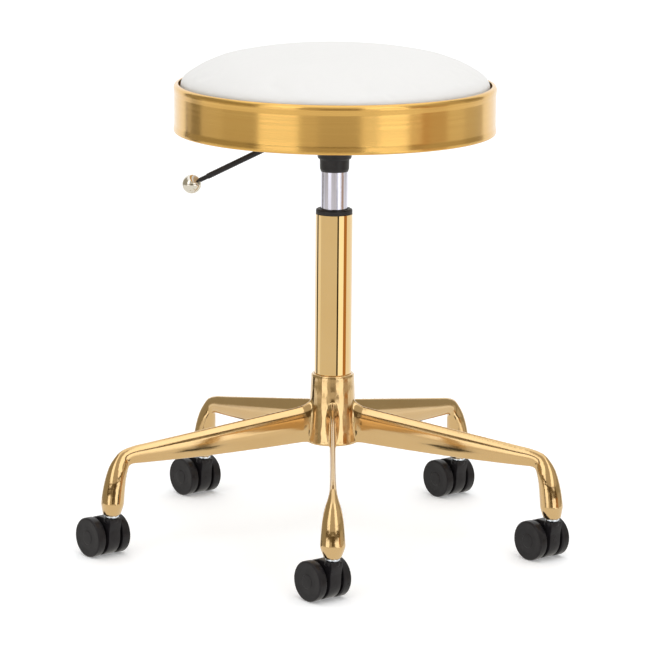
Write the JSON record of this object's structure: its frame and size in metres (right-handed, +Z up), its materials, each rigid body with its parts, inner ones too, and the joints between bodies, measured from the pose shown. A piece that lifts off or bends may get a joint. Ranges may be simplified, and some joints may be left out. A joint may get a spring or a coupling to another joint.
{
  "type": "pedicure stool",
  "caption": "Low gas-lift salon stool with a domed round cushion in a metal band, a star base and twin-wheel casters.",
  "frame": {"origin": "on the floor, under the column's axis", "axes": "+Z up along the column; the first leg points along -Y and the release lever along -X"},
  "size_m": [0.5156, 0.4933, 0.528],
  "materials": {
    "polished_gold": "polished and gold plated",
    "gold_tube": "mirror gold plated steel",
    "brushed_gold": "satin, brushed round its length, gold plated",
    "chrome_steel": "ground and chromed",
    "steel": "zinc plated",
    "zinc": "bright zinc plated",
    "black_nylon": "moulded nylon, slightly glossy",
    "black_plastic": "moulded acetal, satin",
    "black_metal": "black powder coat, satin",
    "polished_nickel": "polished",
    "white_vinyl": "soft faux leather",
    "foam": "moulded foam",
    "plywood": "bare plywood",
    "rubber": "moulded rubber"
  },
  "bodies": {
    "base": {"star_base": "polished_gold", "column_tube": "gold_tube", "guide_bush": "black_plastic", "column_end_plate": "steel", "bearing_lower_race": "steel", "caster_stem_1": "zinc", "caster_stem_2": "zinc", "caster_stem_3": "zinc", "caster_stem_4": "zinc", "caster_stem_5": "zinc"},
    "rod": {"piston_rod": "chrome_steel", "piston": "black_plastic", "rod_clip": "steel", "bearing_balls": "steel", "bearing_upper_race": "steel", "rubber_bumper": "rubber"},
    "seat": {"gas_cylinder": "chrome_steel", "rod_gland": "black_plastic", "lift_plate": "black_metal", "lever_pin": "steel", "seat_board": "plywood", "foam_pad": "foam", "seat_cover": "white_vinyl", "trim_ring": "brushed_gold", "ring_screws": "steel", "tee_nuts": "steel", "plate_bolts": "steel", "cover_staples": "steel"},
    "lever": {"lever_rod": "black_metal", "lever_knob": "polished_nickel"},
    "valve": {"valve_pin": "steel"},
    "caster_1": {"caster_body_1": "black_nylon", "caster_axle_1": "steel"},
    "outer_wheel_1": {"wheel_outer_1": "black_nylon"},
    "inner_wheel_1": {"wheel_inner_1": "black_nylon"},
    "caster_2": {"caster_body_2": "black_nylon", "caster_axle_2": "steel"},
    "outer_wheel_2": {"wheel_outer_2": "black_nylon"},
    "inner_wheel_2": {"wheel_inner_2": "black_nylon"},
    "caster_3": {"caster_body_3": "black_nylon", "caster_axle_3": "steel"},
    "outer_wheel_3": {"wheel_outer_3": "black_nylon"},
    "inner_wheel_3": {"wheel_inner_3": "black_nylon"},
    "caster_4": {"caster_body_4": "black_nylon", "caster_axle_4": "steel"},
    "outer_wheel_4": {"wheel_outer_4": "black_nylon"},
    "inner_wheel_4": {"wheel_inner_4": "black_nylon"},
    "caster_5": {"caster_body_5": "black_nylon", "caster_axle_5": "steel"},
    "outer_wheel_5": {"wheel_outer_5": "black_nylon"},
    "inner_wheel_5": {"wheel_inner_5": "black_nylon"}
  },
  "joints": [
    {"name": "seat_swivel", "type": "hinge", "parent": "base", "child": "rod", "pos_m": [0, 0, 0.117], "axis": [0, 0, 1], "continuous": true},
    {"name": "seat_lift", "type": "slide", "parent": "rod", "child": "seat", "axis": [0, 0, 1], "range_m": [0, 0.12]},
    {"name": "lever_lift", "type": "hinge", "parent": "seat", "child": "lever", "pos_m": [-0.034, 0, 0.431], "axis": [0, 1, 0], "range_deg": [0, 7]},
    {"name": "valve_press", "type": "slide", "parent": "seat", "child": "valve", "axis": [0, 0, -1], "range_m": [0, 0.0043]},
    {"name": "caster_swivel_1", "type": "hinge", "parent": "base", "child": "caster_1", "pos_m": [0, -0.2415, 0.04], "axis": [0, 0, 1], "continuous": true},
    {"name": "outer_wheel_spin_1", "type": "hinge", "parent": "caster_1", "child": "outer_wheel_1", "pos_m": [-0.00964, -0.23001, 0.021], "axis": [-0.766, -0.6428, 0], "continuous": true},
    {"name": "inner_wheel_spin_1", "type": "hinge", "parent": "caster_1", "child": "inner_wheel_1", "pos_m": [-0.00964, -0.23001, 0.021], "axis": [-0.766, -0.6428, 0], "continuous": true},
    {"name": "caster_swivel_2", "type": "hinge", "parent": "base", "child": "caster_2", "pos_m": [0.22968, -0.07463, 0.04], "axis": [0, 0, 1], "continuous": true},
    {"name": "outer_wheel_spin_2", "type": "hinge", "parent": "caster_2", "child": "outer_wheel_2", "pos_m": [0.22004, -0.06314, 0.021], "axis": [-0.766, -0.6428, 0], "continuous": true},
    {"name": "inner_wheel_spin_2", "type": "hinge", "parent": "caster_2", "child": "inner_wheel_2", "pos_m": [0.22004, -0.06314, 0.021], "axis": [-0.766, -0.6428, 0], "continuous": true},
    {"name": "caster_swivel_3", "type": "hinge", "parent": "base", "child": "caster_3", "pos_m": [0.14195, 0.19538, 0.04], "axis": [0, 0, 1], "continuous": true},
    {"name": "outer_wheel_spin_3", "type": "hinge", "parent": "caster_3", "child": "outer_wheel_3", "pos_m": [0.13231, 0.20687, 0.021], "axis": [-0.766, -0.6428, 0], "continuous": true},
    {"name": "inner_wheel_spin_3", "type": "hinge", "parent": "caster_3", "child": "inner_wheel_3", "pos_m": [0.13231, 0.20687, 0.021], "axis": [-0.766, -0.6428, 0], "continuous": true},
    {"name": "caster_swivel_4", "type": "hinge", "parent": "base", "child": "caster_4", "pos_m": [-0.14195, 0.19538, 0.04], "axis": [0, 0, 1], "continuous": true},
    {"name": "outer_wheel_spin_4", "type": "hinge", "parent": "caster_4", "child": "outer_wheel_4", "pos_m": [-0.15159, 0.20687, 0.021], "axis": [-0.766, -0.6428, 0], "continuous": true},
    {"name": "inner_wheel_spin_4", "type": "hinge", "parent": "caster_4", "child": "inner_wheel_4", "pos_m": [-0.15159, 0.20687, 0.021], "axis": [-0.766, -0.6428, 0], "continuous": true},
    {"name": "caster_swivel_5", "type": "hinge", "parent": "base", "child": "caster_5", "pos_m": [-0.22968, -0.07463, 0.04], "axis": [0, 0, 1], "continuous": true},
    {"name": "outer_wheel_spin_5", "type": "hinge", "parent": "caster_5", "child": "outer_wheel_5", "pos_m": [-0.23932, -0.06314, 0.021], "axis": [-0.766, -0.6428, 0], "continuous": true},
    {"name": "inner_wheel_spin_5", "type": "hinge", "parent": "caster_5", "child": "inner_wheel_5", "pos_m": [-0.23932, -0.06314, 0.021], "axis": [-0.766, -0.6428, 0], "continuous": true}
  ],
  "couplings": [
    {"joint": "valve_press", "follows": "lever_lift", "m_per_rad": 0.034}
  ]
}
